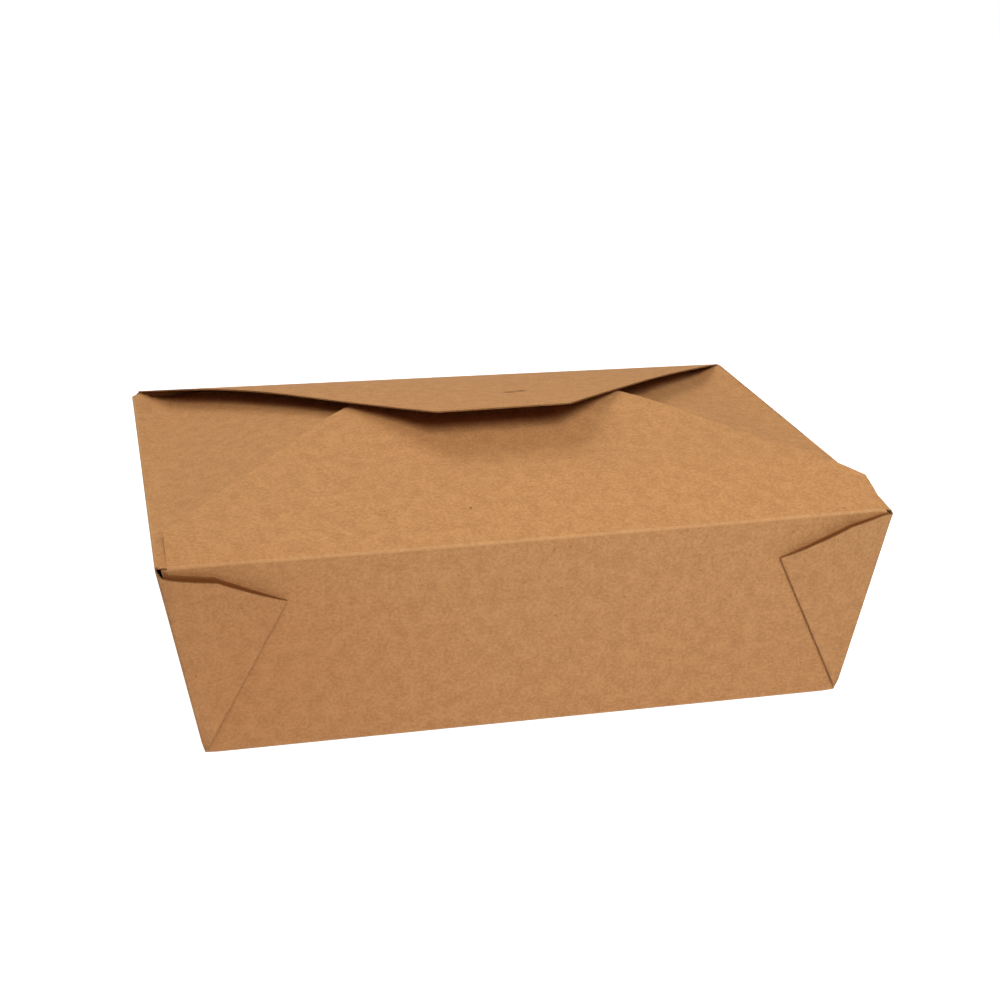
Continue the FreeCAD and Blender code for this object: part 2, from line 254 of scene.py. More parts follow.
# %% [markdown]
# ## Columns of a quarter
#
# A flap's fold ends short of the corner, so a wall and its flap share only a part of the rim. The
# columns are closer together near the corner, where the board turns, and they are shifted a little
# so that one of them falls on the end of the fold. Cutting the wall there would do it too, but
# would leave needle-thin faces.

# %% Columns and what differs between corners
CROWDING = 0.35                          # 0 spreads the columns evenly, 1 as a sine rises


def crowded(count):
    """Places from 0 to 1, closer together near 1: a sine's rise blended with an even spread."""
    return (np.sin(np.linspace(0, np.pi / 2, count)) * CROWDING
            + np.linspace(0, 1, count) * (1 - CROWDING))


SPREAD, END_SPREAD = crowded(37), crowded(29)     # over half a long wall and half an end wall
print(len(SPREAD), "columns to the corner on a long wall,", len(END_SPREAD), "on an end wall")


def with_place(spread, place):
    """The same spread of columns, bent a little so that one column falls exactly on place."""
    nearest = np.argmin(abs(spread[:-1] - place))
    known = np.array([0.0, spread[nearest], 1.0])
    return np.interp(spread, known, [0.0, place, 1.0]), nearest


class Corner:
    """What differs from corner to corner: how far the folded board springs open there.

    nose and turn are the level distances from the corner edge to the two bends of the board, inner
    and outer the cut edges of the web's layers. spring is how far each layer bulges, lift how far
    the outer one stands off at its turn, stand how far the crease does, and dip how far the end
    wall's rim falls past the end of its fold. long_places and end_places are the columns that the
    two walls share with their flaps, along X and along Y.
    """

    def __init__(self, side, nose, turn, long_fold, end_fold, dip, inner, outer, spring, lift,
                 stand):
        self.side = np.array(side)
        self.nose, self.turn = nose, turn
        self.end_fold, self.dip = end_fold, dip
        self.inner, self.outer = inner, outer
        self.spring, self.lift, self.stand = spring, lift, stand
        top = half_size(WALL_TOP)
        long_wall, end_wall = top[0] - nose, top[1] + 2 * PITCH / np.cos(LEAN[1]) - turn
        self.spread, last = with_place(SPREAD, long_fold / long_wall)
        self.long_places = (self.spread * long_wall)[:last + 1]
        self.end_spread, last = with_place(END_SPREAD, end_fold / end_wall)
        self.end_places = (self.end_spread * end_wall)[:last + 1]


# %% [markdown]
# ## The path round a corner
#
# At a corner the real board doubles back on itself twice. A flat mesh could be folded up with bones
# or as cloth, but its layers, a tenth of a millimetre apart, would soon cut through each other. So
# the board is followed row by row: each stretch of its path has a formula of its own, and all
# stretches are joined into one grid.

# %% A quarter of the tray
WEB_PARTS = (0, 0, 1, 1, 1, 0, 0)        # the path's parts inside the web, whose inside gets painted shade
HALF_TURN = np.linspace(0, np.pi, 10)[1:-1]
BEND = np.linspace(0, 1, 12)[1:-1]       # along the turn into the end wall
BULGE_UP, BULGE_ALONG = 3, 0.7           # powers of a layer's bulge, up the wall and along the row
LIFT_UP, LIFT_REACH = 6, 0.5             # power of the lift up the wall, and share of the row
DIP_UP, DIP_ALONG = 12, 0.8              # powers of the dip of an end wall's rim


def bulge(along):
    """How a layer springs open: not at its two ends or low down, and most halfway at the rim."""
    return ROWS ** BULGE_UP * np.sin(np.pi * along) ** BULGE_ALONG


def quarter(corner):
    """The patch of one quarter of the tray.

    Its stretches are: long wall, nose as half a circle, inner layer, crease as half a circle, outer
    layer, turn as a parabola, and end wall.
    """
    nose = ROWS * corner.nose + NOSE_LOW * PRESSED * (1 - ROWS)
    turn = ROWS * corner.turn + TURN_LOW * PRESSED * (1 - ROWS)
    inset = (GAP + BOARD * PRESSED) / 2
    stand, dip = corner.stand * PRESSED, corner.dip * ROWS ** DIP_UP
    ahead = 1 / np.cos(LEAN[1])
    points, blanks = [], []

    def add(q, forward, z, blank):
        """One stretch: distance from the corner edge, distance off the wall, height, blank."""
        points.append(at_corner(q, forward * ahead, z))
        blanks.append(blank)

    spread = SPREAD * (1 - ROWS) + corner.spread * ROWS
    wall_q = HALF_X - spread * (HALF_X - nose)
    level = np.broadcast_to(LEVEL, wall_q.shape)
    add(wall_q, 0, level, long_blank(in_wall(wall_q, level)))

    round_q = nose - GAP / 2 * np.sin(HALF_TURN)
    level = np.broadcast_to(LEVEL, round_q.shape)
    add(round_q, GAP / 2 * (1 - np.cos(HALF_TURN)), level, inner_blank(round_q, level))

    q, z, along = layer(corner.inner, nose, corner.nose, inset)
    add(q, GAP + corner.spring[0] * bulge(along) + stand * along, z, inner_blank(q, z))

    round_q = q[:, -1:] + GAP / 2 * np.sin(HALF_TURN) * SQUARE[0]
    round_z = z[:, -1:] + GAP / 2 * np.sin(HALF_TURN) * SQUARE[1]
    add(round_q, GAP * 1.5 - GAP / 2 * np.cos(HALF_TURN) + stand, round_z,
        inner_blank(round_q, round_z))

    q, z, along = layer(corner.outer, turn, corner.turn, inset)
    lift = ROWS ** LIFT_UP * smooth(1 - along / LIFT_REACH) * corner.lift
    off_wall = 2 * GAP + corner.spring[1] * bulge(along) + lift + stand * along
    twice = folded_over(folded_over(in_wall(q, z), crease_angle), -edge_skew)
    add(q[:, ::-1], off_wall[:, ::-1], z[:, ::-1], long_blank(twice)[:, ::-1])

    round_z = z[:, :1] + (LEVEL - dip - z[:, :1]) * smooth(BEND)
    lift = ROWS ** LIFT_UP * corner.lift * (1 - BEND) ** 2
    end_blank = np.stack([FOOT[0] + (round_z - FOOT_Z) / np.cos(LEAN[0]),
                          half_size(round_z)[..., 1] + GAP - turn * BEND], -1)
    add(turn * (1 - BEND) ** 2, 2 * GAP + lift - turn * BEND ** 2 / ahead, round_z, end_blank)

    end_spread = (END_SPREAD * (1 - ROWS) + corner.end_spread * ROWS)[:, ::-1]
    end_y = end_spread * (HALF_Y + 2 * GAP * ahead - turn)
    past = np.clip((end_y - corner.end_fold) / (end_y[:, :1] - corner.end_fold), 0, 1)
    level = LEVEL - dip * past ** DIP_ALONG
    points.append(np.stack([np.broadcast_to(HALF_X, end_y.shape), end_y, level], -1))
    blanks.append(np.stack([FOOT[0] + (level - FOOT_Z) / np.cos(LEAN[0]), end_y], -1))

    web = np.repeat(WEB_PARTS, [part.shape[1] for part in points])
    return Patch(np.concatenate(points, 1) * np.append(corner.side, 1),
                 np.concatenate(blanks, 1) * corner.side,
                 turned_over=corner.side[0] * corner.side[1] < 0, web=web)


# %% [markdown]
# ## The four corners
#
# The corners are alike, but hand folding leaves them open by different amounts. The cut edge of a
# web falls from the rim to a bend and then runs square to the crease. The outer layer sits a little
# lower than the inner one, because it goes the longer way round the nose.

# %% Corner shapes
LONG_FOLD = {(-1, -1): 106.1, (1, -1): 106.9, (-1, 1): 107.0, (1, 1): 108.6}   # from the middle
END_FOLD = {(-1, -1): 78.1, (1, -1): 77.3, (-1, 1): 77.4, (1, 1): 77.4}
EDGE_START = 1.2                         # length of a cut edge's first stretch
OUTER_FALL = 0.25                        # how far the outer layer's edge falls along it
INNER_BEND = 0.4                         # how much nearer the corner the inner layer's bend is


def web_edge(start, first, bend, crease_z, counts=(3, 9, 12)):
    """Cut edge of a layer, from the nose or turn to the crease, as (distance, height) points."""
    crease = ((crease_z - FOOT_Z) * CREASE_RUN, crease_z)
    return polyline([start, first, bend, crease], counts)


def make_corner(side, nose, turn, dip, drop, bend, bend_z, crease_z, spring, lift, stand):
    """A corner, with the height lost at its nose and turn and the place of the edge's bend."""
    turn_z = WALL_TOP - drop[1]
    inner = web_edge((nose, WALL_TOP), (nose + EDGE_START, WALL_TOP - drop[0]),
                     (bend - INNER_BEND, bend_z[0]), crease_z)
    outer = web_edge((turn, turn_z), (turn + EDGE_START, turn_z - OUTER_FALL),
                     (bend, bend_z[1]), crease_z)
    return Corner(side, nose, turn, LONG_FOLD[side], END_FOLD[side], dip, inner, outer, spring,
                  lift, stand)


corners = {
    "front_left": make_corner((-1, -1), nose=1.9, turn=1.7, dip=0.3, drop=(1.2, 2.2), bend=15.6,
                              bend_z=(59.7, 58.5), crease_z=50.3, spring=(1.1, 2.4), lift=0.5,
                              stand=0.9),
    "front_right": make_corner((1, -1), nose=2.0, turn=2.0, dip=0.2, drop=(0.3, 0.35), bend=14.0,
                               bend_z=(59.4, 59.2), crease_z=49.9, spring=(0.9, 2.3), lift=0.0,
                               stand=0.08),
    "back_left": make_corner((-1, 1), nose=2.0, turn=1.5, dip=0.4, drop=(1.2, 1.6), bend=15.0,
                             bend_z=(58.6, 58.0), crease_z=50.0, spring=(0.2, 0.7), lift=0.1,
                             stand=0.4),
    "back_right": make_corner((1, 1), nose=0.9, turn=1.0, dip=0.2, drop=(0.9, 1.0), bend=15.0,
                              bend_z=(59.4, 58.9), crease_z=50.0, spring=(0.2, 0.6), lift=0.1,
                              stand=0.4),
}
tray = [quarter(corner) for corner in corners.values()]
print("a quarter has", tray[0].points.shape[:2], "points")

# %% [markdown]
# ## Base and base folds
#
# The base is flat and shares its columns with the walls. The folds round it are rings at rising
# heights, each a rectangle with the size that the profile gives. A box with bevelled edges would
# look the same, but its points wouldn't meet those of the walls.

# %% The base
FOLD_RINGS = 8
ring_z = np.linspace(BOARD / 2, FOOT_Z, FOLD_RINGS)[:, None]
ring_x, ring_y = np.moveaxis(half_size(ring_z), -1, 0)
base = []
for corner in corners.values():
    flipped = corner.side[0] * corner.side[1] < 0
    side = np.append(corner.side, 1)
    x, y = np.meshgrid(SPREAD * ring_x[0], END_SPREAD * ring_y[0])
    flat = np.stack([x, y, np.full_like(x, BOARD / 2)], -1)
    base.append(Patch(flat * side, flat[..., :2] * corner.side, turned_over=flipped))
    shape = (len(ring_z), len(SPREAD))
    long_side = np.stack([SPREAD * ring_x, np.broadcast_to(ring_y, shape),
                          np.broadcast_to(ring_z, shape)], -1)
    shape = (len(ring_z), len(END_SPREAD))
    end_side = np.stack([np.broadcast_to(ring_x, shape), END_SPREAD[::-1] * ring_y,
                         np.broadcast_to(ring_z, shape)], -1)
    for strip in (long_side, end_side):
        base.append(Patch(strip * side, strip[..., :2] * corner.side, fold=1.0, turned_over=flipped))
print("base and folds:", len(base), "patches")

# %% [markdown]
# ## How the flaps spring up
#
# A folded flap wants to open again. It leaves its fold at an angle, flattens as it meets whatever
# holds it down, and may dip at its free edge. That is a slope that changes gently with the distance
# from the fold, so each flap has a few slopes and the height is their running total. A curve drawn
# by hand would do for the middle of a flap, but not across its width. Left and right have slopes of
# their own, because a hand-folded box is never quite even.

# %% Slopes and heights
def fold_centre(axis):
    """Centre of a rim fold's arc, as distance inside the rim and height.

    axis is 0 for a fold of an end wall and 1 for one of a long wall. The arc is tangent to the
    wall at its top, so its centre lies square to the wall, one radius inwards.
    """
    lean = LEAN[axis]
    wall_top = BASE[axis] / 2 + WALL_TOP * np.tan(lean) - BOARD / 2 / np.cos(lean)
    return RIM[axis] / 2 - wall_top + FOLD * np.cos(lean), WALL_TOP + FOLD * np.sin(lean)


class Spring:
    """Height of a flap over its fold, from slopes at a few distances, for both of its ends.

    The low end is at negative X or Y. Between the ends the slopes blend from start to stop.
    """

    def __init__(self, at, low_side, high_side, start, stop):
        self.at = np.array(at, float)
        self.slopes = np.array([low_side, high_side], float)
        self.start, self.stop = start, stop

    def slope_at(self, number, along):
        """One of the slopes at a place along the fold: a smooth blend of its two ends' values."""
        low, high = self.slopes[:, number]
        share = (np.asarray(along, float) - self.start) / (self.stop - self.start)
        return low + (high - low) * smooth(share)

    def rise(self, along):
        """Angle over level at which the flap leaves its fold: the first slope's."""
        return np.arctan(self.slope_at(0, along))

    def climb(self, distance, along):
        """Running total of the slopes: the slope is straight between stops, so the height is a
        parabola in each stretch, and past the last stop the last slope goes on."""
        total = 0.0
        for stop, (a, b) in enumerate(zip(self.at, self.at[1:])):
            first, last = self.slope_at(stop, along), self.slope_at(stop + 1, along)
            done = np.clip(distance, a, b) - a
            total = total + first * done + (last - first) * done ** 2 / (2 * (b - a))
        return total + self.slope_at(-1, along) * np.maximum(distance - self.at[-1], 0)

    def middle(self, distance, along, axis):
        """Height of the middle of the board at this distance inside the rim: the top of the fold's
        arc, and the climb from there on."""
        centre, centre_z = fold_centre(axis)
        rise = self.rise(along)
        end = centre - FOLD * np.sin(rise)
        return (centre_z + FOLD * np.cos(rise) + self.climb(distance, along)
                - self.climb(end, along))


print("rim folds turn about", np.round(fold_centre(0), 2), "and", np.round(fold_centre(1), 2))

# %% [markdown]
# Each flap gets its slopes. The back flap climbs less and less, the tip of the front flap dips
# under it, and the rear parts of the end flaps dip before they climb.

# %% Slopes of the four flaps
front_spring = Spring((0, 20, 37, 65, 79, 90, 107),
                      (0.27, 0.17, 0.175, 0.21, 0.07, 0.0, -0.22),
                      (0.30, 0.30, 0.10, 0.20, 0.07, 0.0, -0.22), start=-90, stop=90)
back_spring = Spring((0, 12, 30, 60, 107),
                     (0.32, 0.32, 0.265, 0.15, 0.155),
                     (0.25, 0.24, 0.23, 0.195, 0.215), start=-90, stop=90)
END_STOPS = (0, 6, 12, 20, 50, 72)
end_springs = {-1: Spring(END_STOPS, (0.16, 0.30, 0.36, 0.28, 0.20, 0.02),
                          (-0.45, -0.30, 0.10, 0.31, 0.17, 0.05), start=-70, stop=72),
               1: Spring(END_STOPS, (0.24, 0.30, 0.30, 0.24, 0.18, 0.02),
                         (-0.30, -0.20, 0.08, 0.20, 0.05, 0.05), start=-90, stop=70)}
for name, spring in (("front", front_spring), ("back", back_spring), ("end", end_springs[-1])):
    print(name, "flap climbs", spring.climb(spring.at, 0.0).round(1), "mm at", spring.at)

# %% [markdown]
# ## Outlines of the flaps
#
# Seen from above, the front flap and the end flaps have short straight sides before their slanted
# ones, and the back flap slants from the fold on. Each tip has two small round corners. A curve
# could be drawn and filled, but its long thin triangles bend badly. So every row of a flap is
# one width of the outline, with the columns spread over it in proportion.

# %% Outline
NEAR_ROWS = np.array([0.9, 2.0, 4.0, 7.0, 10.5, 13.5])    # the first rows, closer at the fold
ROW_STEP = 2.6                           # from row to row where the sides slant
TIP_STEPS = 7                            # rows round a corner of the tip


class Outline:
    """Half width of a flap at each distance from its rim, and the rows to draw it with."""

    def __init__(self, half, side, slant, reach, tip_radius):
        self.half, self.side = half, side
        angle = np.radians(slant)
        self.spread = 1 / np.tan(angle)
        top = reach - tip_radius
        touch = top + tip_radius * np.cos(angle)
        self.tip = self.line(touch) - tip_radius * np.sin(angle)
        turn = np.linspace(np.pi / 2 - angle, np.pi / 2, TIP_STEPS)
        straight = np.append(NEAR_ROWS[NEAR_ROWS < side], [side]) if side else NEAR_ROWS[:1]
        slanted = np.linspace(straight[-1], touch, int(touch / ROW_STEP))[1:-1]
        self.rows = np.concatenate([straight, slanted, top + tip_radius * np.sin(turn)])
        self.widths = np.concatenate([self.line(np.append(straight, slanted)),
                                      self.tip + tip_radius * np.cos(turn)])

    def line(self, distance):
        """Half width without the round tip: constant along the side, then less by the slant."""
        return self.half - np.maximum(distance - self.side, 0) * self.spread


STRAIGHT_SIDE = 17.0                     # of the front flap and the end flaps
FRONT_REACH, BACK_REACH, END_REACH = 107.0, 106.5, 72.0
LONG_TIP, END_TIP = 3.0, 6.0             # radii of the tips' corners
front_outline = {side: Outline(LONG_FOLD[side, -1], STRAIGHT_SIDE, slant, FRONT_REACH, LONG_TIP)
                 for side, slant in ((-1, 46.9), (1, 47.5))}
back_outline = {side: Outline(LONG_FOLD[side, 1], 0.0, slant, BACK_REACH, LONG_TIP)
                for side, slant in ((-1, 51.1), (1, 50.7))}
end_outline = {end: {side: Outline(END_FOLD[end, side], STRAIGHT_SIDE, 56.0, END_REACH, END_TIP)
                     for side in (-1, 1)} for end in (-1, 1)}
print("tips are", [round(2 * o[1].tip, 1) for o in (front_outline, back_outline, end_outline[1])],
      "mm wide between their corners")

# %% [markdown]
# ## Which flap lies on which
#
# The end flaps go in first, the front flap over them, the back flap last. Each keeps its own
# springy shape until it meets the one above, so its height is the smaller of the two, with the
# corner between them rounded off. Outside the upper flap's outline the hold lets go gradually. A
# simulation with collisions would do this as well, but slowly, and it is hard to steer.

# %% Heights of the flaps in the closed box
REST = BOARD + 0.16                      # between the middles of two flaps that nearly touch
LET_GO = 0.35                            # slope at which a held flap may rise past the edge
HELD = 0.08                              # the same for an end flap beside the front flap
SOFT = 0.8                               # how wide the rounding of the smaller height is


def smaller(a, b):
    """The smaller of two heights, rounded off where they are nearly equal."""
    t = np.clip(0.5 + 0.5 * (b - a) / SOFT, 0, 1)
    return b + (a - b) * t - SOFT * t * (1 - t)


def past_edge(x, distance, outline):
    """How far a place lies outside a flap's sides: its X beyond the half width there, or 0."""
    half = np.where(np.asarray(x) > 0, outline[1].line(distance), outline[-1].line(distance))
    return np.maximum(abs(x) - half, 0)


def back_middle(x, y):
    """Height of the back flap, which nothing holds down."""
    return back_spring.middle(RIM[1] / 2 - y, x, 1)


def front_middle(x, y):
    """Height of the front flap: the smaller of its own and that under the back flap."""
    free = front_spring.middle(RIM[1] / 2 + y, x, 1)
    over = back_middle(x, y) - REST + LET_GO * past_edge(x, RIM[1] / 2 - y, back_outline)
    return smaller(free, over)


def end_middle(x, y):
    """Height of an end flap: the smallest of its own and those under the two long flaps."""
    free = np.where(x > 0, *(end_springs[end].middle(RIM[0] / 2 - abs(x), y, 0)
                             for end in (1, -1)))
    front = front_middle(x, y) - REST + HELD * past_edge(x, RIM[1] / 2 + y, front_outline)
    back = back_middle(x, y) - REST + LET_GO * past_edge(x, RIM[1] / 2 - y, back_outline)
    return smaller(smaller(free, front), back)


crossing = front_middle(0.0, RIM[1] / 2 - BACK_REACH)
print("the front flap is", crossing.round(2), "mm high where the tip of the back flap lies on it")

# %% [markdown]
# ## From outline to flap
#
# A flap starts at the top of its wall, turns over in a tight fold and goes on as a springy sheet. A
# flat plane with a bend modifier would need the right pivot for every flap. Here the first rows
# follow the fold's arc, with the wall's own columns, and the rest follow the outline.

# %% A flap as a patch
FOLD_ROWS = 10                           # round the arc


def flap(columns, outlines, spring, middle, outward):
    """Fold and flap in one patch. columns are places along the fold, from one end to the other.

    The fold is an arc that starts up the wall and turns until it reaches the flap's own slope.
    The rows after it follow the outline, at the height that middle gives.
    """
    axis = 0 if outward[0] else 1
    outward = np.array(outward, float)
    forward = np.array([outward[1], -outward[0]])
    place = columns * forward[1 - axis]  # along world X or Y
    centre, centre_z = fold_centre(axis)
    lean = LEAN[axis]
    turned = (np.linspace(0, 1, FOLD_ROWS)[:, None] * (np.pi / 2 + lean - spring.rise(place))
              - lean)
    inside = centre - FOLD * np.cos(turned)
    height = centre_z + FOLD * np.sin(turned)
    along = np.broadcast_to(columns, inside.shape)
    share = columns / np.where(columns > 0, columns[-1], -columns[0])
    first, last = (outlines[1 if place[end] > 0 else -1] for end in (0, -1))
    widths = np.where(columns > 0, last.widths[:, None], first.widths[:, None])
    rows = np.where(columns > 0, last.rows[:, None], first.rows[:, None])
    along = np.concatenate([along, share * widths])
    inside = np.concatenate([inside, rows])
    flat = along[..., None] * forward + (RIM[axis] / 2 - inside)[..., None] * outward
    flap_z = middle(flat[FOLD_ROWS:, :, 0], flat[FOLD_ROWS:, :, 1])
    points = np.concatenate([flat, np.concatenate([height, flap_z])[..., None]], -1)
    steps = np.linalg.norm(np.diff(points[:, len(columns) // 2], axis=0), axis=-1)
    up = np.concatenate([[0], np.cumsum(steps)])[:, None]
    reach = BASE[axis] / 2 + WALL_TOP / np.cos(lean) + up
    blank = along[..., None] * forward + reach[..., None] * outward
    fold = np.zeros(points.shape[:2])
    fold[1:FOLD_ROWS] = 1.0
    return Patch(points, blank, fold)


def whole_fold(first, second):
    """Places along a fold from - to +, from those of its two halves, each counted from 0."""
    return np.concatenate([-first[:0:-1], second])


print("halves that are counted from 0 make one fold:", whole_fold(np.arange(3), np.arange(4)))

# %% [markdown]
# All four flaps come from the one function. The three that stay with the box join its sheet, and
# the back flap becomes an object of its own, because it can be opened.

# %% The four flaps
front_flap = flap(whole_fold(corners["front_right"].long_places, corners["front_left"].long_places),
                  front_outline, front_spring, front_middle, (0, -1))
back_flap = flap(whole_fold(corners["back_left"].long_places, corners["back_right"].long_places),
                 back_outline, back_spring, back_middle, (0, 1))
end_flaps = [flap(whole_fold(corners[first].end_places, corners[second].end_places),
                  end_outline[end], end_springs[end], end_middle, (end, 0))
             for end, first, second in ((1, "back_right", "front_right"),
                                        (-1, "front_left", "back_left"))]
print("front flap reaches", front_flap.points[..., 2].max().round(2), "mm, back flap",
      back_flap.points[..., 2].max().round(2), "mm")

# %% [markdown]
# ## Out of true
#
# A real box of this thin board leans and twists by a millimetre or so. The rim's corners are moved
# by small amounts, the move fades out towards the base, the front fold sags between its ends, and
# two ends of the end folds hang. A lattice round the box could do that, but formulas move all
# layers at a place alike, so that none cuts through another.

# %% Settling
RIM_MOVES = {(-1, -1): (-0.5, -0.1, 0.5), (1, -1): (-0.7, 1.2, 1.2),
             (-1, 1): (-0.2, 0.4, 1.1), (1, 1): (1.0, -0.6, -0.4)}
FRONT_SAG = np.array([0.0, -0.14, -0.36])
FRONT_SAG_END = 107.0                    # where along X the front fold's sag has gone
FRONT_SAG_FADE = 4                       # power of its fading towards the back
END_HANGS = {(-1, 1): (2.0, 107.0), (1, -1): (1.4, 105.0)}   # depth, and where along X it begins
HANG_END_X = 109.4                       # where along X the hanging is deepest
HANG_START_Y, HANG_RUN_Y = 67.0, 11.0    # where along Y it begins, and how soon it is deepest
HANG_UP = 40                             # power of the height, so that only the rim hangs


def settle(points):
    """Moves points with the rim's corners: in proportion to height, and between the corners in
    proportion to length and width. The front fold's sag is a parabola along it. The hanging ends
    of the end folds go down in proportion along X and smoothly along Y."""
    x, y, z = np.moveaxis(points, -1, 0)
    up = np.clip(z / HEIGHT, 0, 1)
    moved = points.copy()
    for (side_x, side_y), move in RIM_MOVES.items():
        share = np.clip(0.5 + side_x * x / RIM[0], 0, 1) * np.clip(0.5 + side_y * y / RIM[1], 0, 1)
        moved += (share * up)[..., None] * np.array(move)
    near_front = np.clip(0.5 - y / RIM[1], 0, 1) ** FRONT_SAG_FADE
    sag = up * np.clip(1 - (x / FRONT_SAG_END) ** 2, 0, 1) * near_front
    moved += sag[..., None] * FRONT_SAG
    for (side_x, side_y), (depth, start) in END_HANGS.items():
        across = np.clip((side_x * x - start) / (HANG_END_X - start), 0, 1)
        towards_end = smooth((side_y * y - HANG_START_Y) / HANG_RUN_Y)
        moved[..., 2] -= depth * across * towards_end * up ** HANG_UP
    return moved


front_middle_point = np.array([[0.0, -RIM[1] / 2, HEIGHT]])
print("the middle of the front fold moves by", (settle(front_middle_point) - front_middle_point)[0])

# %% [markdown]
# ## From surface to board
#
# The patches are welded where their points coincide, and the board gets its thickness: every point
# is moved half a board out and half a board in along its normal, and the open edges are closed with
# a strip. Blender's Solidify does the same, but here the strip has to be a face group of its own,
# with the deep colour of a cut, which is partly painted shade, and the pressed corners have to be
# thinner than the rest.

# %% Welding
WELDS_PER_MM = 1000
WELD_SHIFT = 0.217                       # keeps round numbers off the limits of the rounding
TINY = 1e-12                             # stands in for a length of 0 where one is divided by


def weld(patches):
    """One mesh from patches: its points, its quads and triangles by their old points, the new point
    of each old one, the old points' places in the blank, and the new points' masks.

    Points that agree to a thousandth of a millimetre become one. Cells that lost a corner in this
    way, at the foot of a quarter, become triangles or vanish.
    """
    points = np.concatenate([settle(p.points).reshape(-1, 3) for p in patches])
    starts = np.cumsum([0] + [p.points.shape[0] * p.points.shape[1] for p in patches[:-1]])
    cells = np.concatenate([p.quads() + start for p, start in zip(patches, starts)])
    blank = np.concatenate([p.blank.reshape(-1, 2) for p in patches])
    masks = np.concatenate([np.stack([p.fold, p.web], -1).reshape(-1, 2) for p in patches])
    key = np.round(points * WELDS_PER_MM + WELD_SHIFT).astype(np.int64)
    _, first, welded = np.unique(key, axis=0, return_index=True, return_inverse=True)
    welded = welded.reshape(-1)
    merged = np.zeros((len(first), 2))
    np.maximum.at(merged, welded, masks)
    corner = welded[cells]
    fresh = corner != np.roll(corner, 1, axis=1)
    whole = fresh.all(1)
    three = fresh.sum(1) == 3
    triangles = cells[three][fresh[three]].reshape(-1, 3)
    triangle_corners = welded[triangles]
    real = ((triangle_corners != np.roll(triangle_corners, 1, axis=1)).all(1)
            & (triangle_corners[:, 0] != triangle_corners[:, 2]))
    return points[first], [cells[whole], triangles[real]], welded, blank, merged


def normals_of(points, faces):
    """Vertex normals: each face's own, weighted by its angle at the vertex."""
    total = np.zeros_like(points)
    for group in faces:
        size = group.shape[1]
        for k in range(size):
            here, ahead, behind = group[:, k], group[:, (k + 1) % size], group[:, k - 1]
            a, b = points[ahead] - points[here], points[behind] - points[here]
            cross = np.cross(a, b)
            length = np.linalg.norm(cross, axis=1)
            angle = np.arctan2(length, (a * b).sum(1))
            np.add.at(total, here, cross / np.maximum(length, TINY)[:, None] * angle[:, None])
    return total / np.maximum(np.linalg.norm(total, axis=1), TINY)[:, None]


print("the tray alone welds to", len(weld(tray)[0]), "points")

# %% [markdown]
# An edge of the sheet is where only one face has a stretch between two corners, so it needs no list
# made by hand. Near the foot of a web the layers run together, and full thickness would push them
# through each other there.

# %% Edges and thickness
PRESSED_SHARE = 0.12                     # of the board's thickness, at the foot of a web


def corner_pairs(groups):
    """All corners of the faces in one list, and for each the next corner of the same face."""
    return (np.concatenate([group.ravel() for group in groups]),
            np.concatenate([np.roll(group, -1, axis=1).ravel() for group in groups]))


def open_edges(faces, count):
    """Directed edges that only one face has, as positions in the lists of corner_pairs."""
    a, b = corner_pairs(faces)
    return np.flatnonzero(~np.isin(a * count + b, b * count + a))


def thickness(points):
    """Share of the full board: least at the foot of a corner, and smoothly more away from it."""
    distance = np.linalg.norm(np.abs(points) - np.append(FOOT, FOOT_Z), axis=1)
    return PRESSED_SHARE + (1 - PRESSED_SHARE) * smooth(distance / CLOSED)


print("open edges of the back flap:", len(open_edges([back_flap.quads()], back_flap.points.size)))

# %% [markdown]
# The finished mesh has the outside, the inside and the strip between them. Its UV map is the blank
# itself, so no unwrapping is needed, and the inside lies beside the outside on it.

# %% Two pieces of board
BLANK_CENTRE = 0.24                      # where the blank's middle is on the map, in metres
INSIDE_SHIFT = (0.5, 0.0)                # from the outside's place on the map to the inside's
SHARP = np.radians(42)                   # faces that meet at more than this keep a sharp edge


def on_map(places):
    """Places of the blank on the UV map, in metres from the map's corner."""
    return places.reshape(-1, 2) * MM + BLANK_CENTRE


